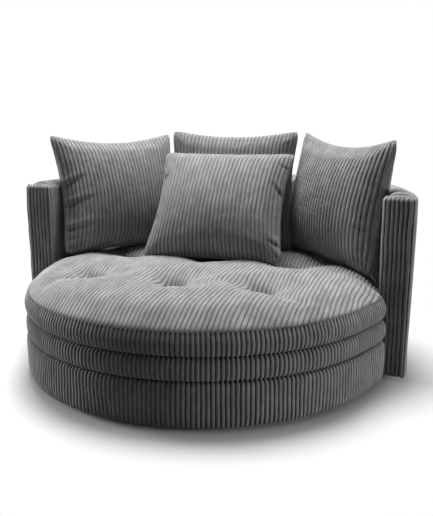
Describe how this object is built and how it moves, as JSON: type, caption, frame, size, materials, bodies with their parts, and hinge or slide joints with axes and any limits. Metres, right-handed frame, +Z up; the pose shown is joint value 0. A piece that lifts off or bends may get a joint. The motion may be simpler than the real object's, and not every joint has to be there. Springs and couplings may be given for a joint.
{
  "type": "armchair",
  "caption": "Round wide armchair: tufted drum seat in soft tiers, thick wrap-round padded back and loose square scatter cushions, in ribbed corduroy.",
  "frame": {"origin": "on the floor, at the middle of the plan's bounding box; the drum's axis stands 41 mm in front of it", "axes": "+Z up, the open front faces -Y, +X is on the right as seen from the front"},
  "size_m": [1.464, 1.382, 0.8341],
  "materials": {
    "corduroy": "matte",
    "scatter_corduroy": "matte",
    "foam": "matte",
    "wadding": "matte",
    "felt": "matte",
    "dust_cloth": "matte",
    "plywood": "matte",
    "timber": "matte",
    "hardboard": "matte",
    "spring_steel": "satin",
    "plated_steel": "satin",
    "black_plastic": "matte",
    "zip_tape": "matte",
    "cord": "matte"
  },
  "bodies": {
    "chair": {"base_glides": "black_plastic", "base_glide_screws": "plated_steel", "base_dust_cover": "dust_cloth", "base_bottom_ring": "plywood", "base_top_ring": "plywood", "base_posts": "timber", "base_hoop": "plywood", "base_foam_wrap": "foam", "base_cover": "corduroy", "spring_rails": "timber", "spring_clips": "plated_steel", "sinuous_springs": "spring_steel", "spring_tie_wires": "spring_steel", "spring_felt_pad": "felt", "deck_foam": "foam", "deck_cover": "corduroy", "mounting_bolts": "plated_steel", "mounting_washers": "plated_steel", "mounting_t_nuts": "plated_steel", "mounting_spacers": "timber", "back_bottom_rail": "plywood", "back_mid_rail": "plywood", "back_top_rail": "plywood", "back_studs": "timber", "back_end_posts": "timber", "back_inner_board": "hardboard", "back_outer_board": "hardboard", "back_inner_foam": "foam", "back_outer_wadding": "wadding", "back_top_foam": "foam", "back_end_pads": "foam", "back_cover": "corduroy", "back_dust_cover": "dust_cloth", "back_glides": "black_plastic", "back_glide_screws": "plated_steel"},
    "seat_cushion": {"seat_cushion_cover": "corduroy", "seat_cushion_foam": "foam", "seat_cushion_wadding": "wadding", "seat_cushion_zip": "zip_tape", "seat_tuft_cords": "cord", "seat_tuft_buttons": "black_plastic"},
    "front_cushion": {"front_cushion_cover": "scatter_corduroy", "front_cushion_filling": "wadding", "front_cushion_zip": "zip_tape"},
    "back_cushion": {"back_cushion_cover": "scatter_corduroy", "back_cushion_filling": "wadding", "back_cushion_zip": "zip_tape"},
    "left_cushion": {"left_cushion_cover": "scatter_corduroy", "left_cushion_filling": "wadding", "left_cushion_zip": "zip_tape"},
    "right_cushion": {"right_cushion_cover": "scatter_corduroy", "right_cushion_filling": "wadding", "right_cushion_zip": "zip_tape"}
  },
  "joints": [
    {"name": "seat_cushion_lift", "type": "slide", "parent": "chair", "child": "seat_cushion", "axis": [0, 0, 1], "range_m": [0, 0.45]},
    {"name": "front_cushion_lift", "type": "slide", "parent": "seat_cushion", "child": "front_cushion", "axis": [0, 0, 1], "range_m": [0, 0.55]},
    {"name": "back_cushion_lift", "type": "slide", "parent": "seat_cushion", "child": "back_cushion", "axis": [0, 0.225, 0.9744], "range_m": [0, 0.55]},
    {"name": "left_cushion_lift", "type": "slide", "parent": "seat_cushion", "child": "left_cushion", "axis": [-0.1132, 0.095, 0.989], "range_m": [0, 0.55]},
    {"name": "right_cushion_lift", "type": "slide", "parent": "seat_cushion", "child": "right_cushion", "axis": [0.0765, 0.0713, 0.9945], "range_m": [0, 0.55]}
  ]
}
